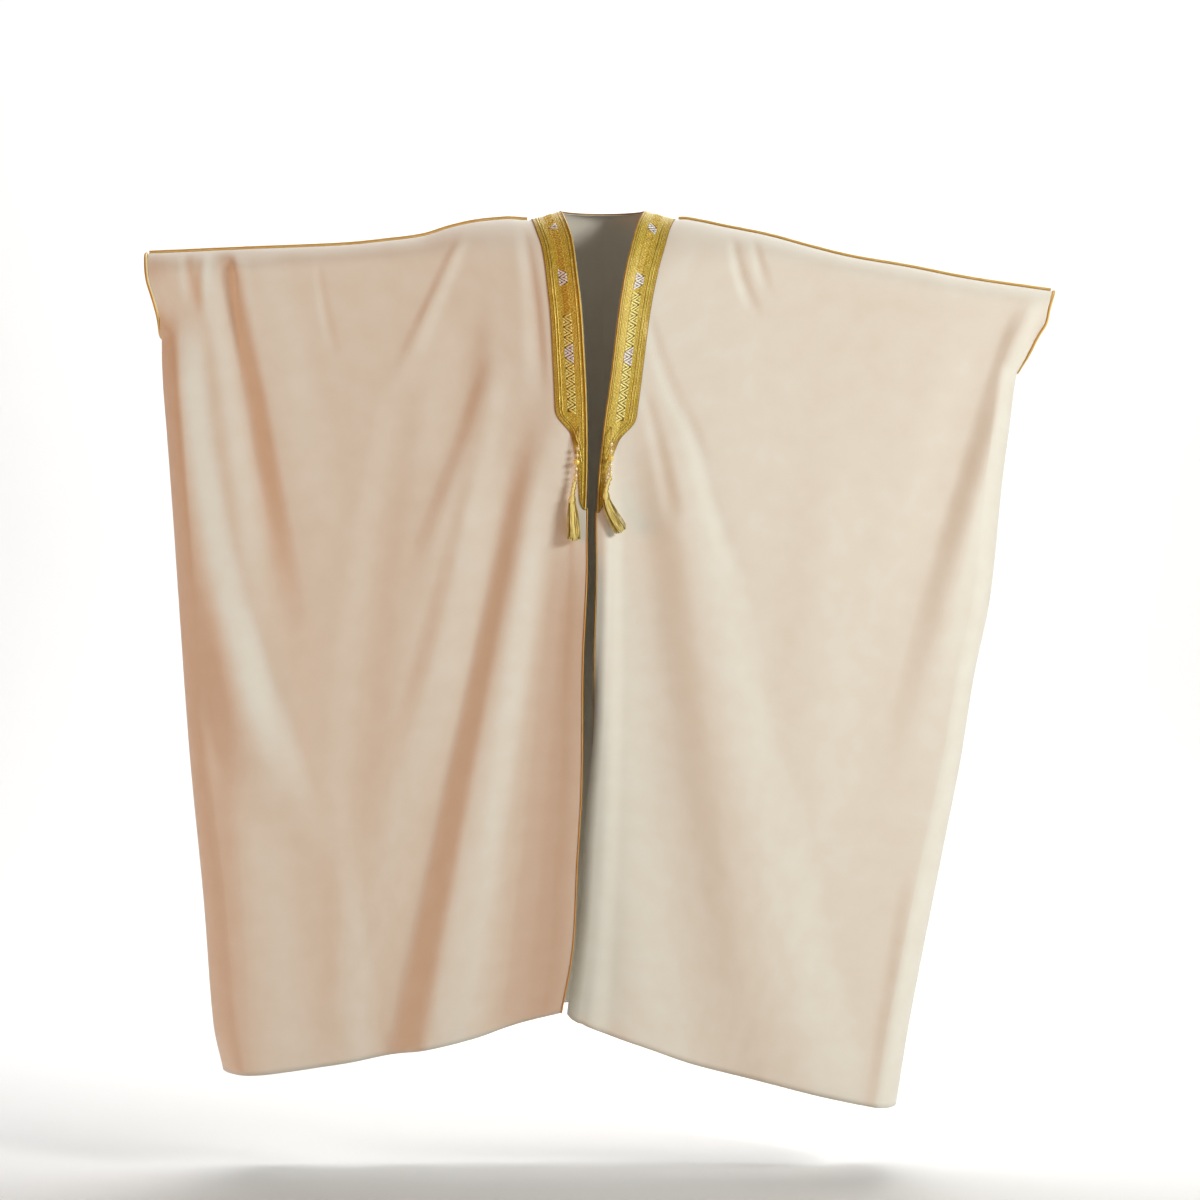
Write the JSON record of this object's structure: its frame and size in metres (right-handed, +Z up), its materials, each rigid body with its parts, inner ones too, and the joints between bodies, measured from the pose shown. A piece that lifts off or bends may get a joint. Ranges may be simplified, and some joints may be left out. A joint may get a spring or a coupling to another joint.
{
  "type": "open cloak worn as a jubba",
  "caption": "Wide open-fronted cloak of light cream cloth, worn with the arms held out: gold bands at neck and chest, braid on shoulders and cuffs, a beaded tassel on each side.",
  "frame": {"origin": "on the wearer's shoulders, at the middle of the neck opening, level with the inner ends of the shoulder seams", "axes": "+X to the wearer's left, -Y forward, +Z up"},
  "size_m": [1.5022, 0.3273, 1.4754],
  "materials": {
    "cream_crepe": "light crepe with a soft satin sheen",
    "gold_zari": "couched metal thread with satin zigzags",
    "gold_braid": "twisted metal-thread braid",
    "gold_silk": "shiny silk thread",
    "pale_bead": "pale and glossy",
    "gold_bead": "bright"
  },
  "bodies": {
    "root": {"back": "cream_crepe", "front_right": "cream_crepe", "front_left": "cream_crepe", "band_right": "gold_zari", "band_left": "gold_zari", "band_neck": "gold_zari", "shoulder_braid_right": "gold_braid", "shoulder_braid_left": "gold_braid", "cuff_braid_right": "gold_braid", "cuff_braid_left": "gold_braid", "piping_right": "gold_braid", "piping_left": "gold_braid", "tassel_string_right": "gold_silk", "tassel_string_left": "gold_silk", "tassel_right": "gold_silk", "tassel_left": "gold_silk", "tassel_ring_right": "gold_bead", "tassel_ring_left": "gold_bead", "bead_right_1": "pale_bead", "bead_right_2": "pale_bead", "bead_right_3": "gold_bead", "bead_right_4": "pale_bead", "bead_right_5": "pale_bead", "bead_left_1": "pale_bead", "bead_left_2": "pale_bead", "bead_left_3": "gold_bead", "bead_left_4": "pale_bead", "bead_left_5": "pale_bead"}
  },
  "joints": []
}
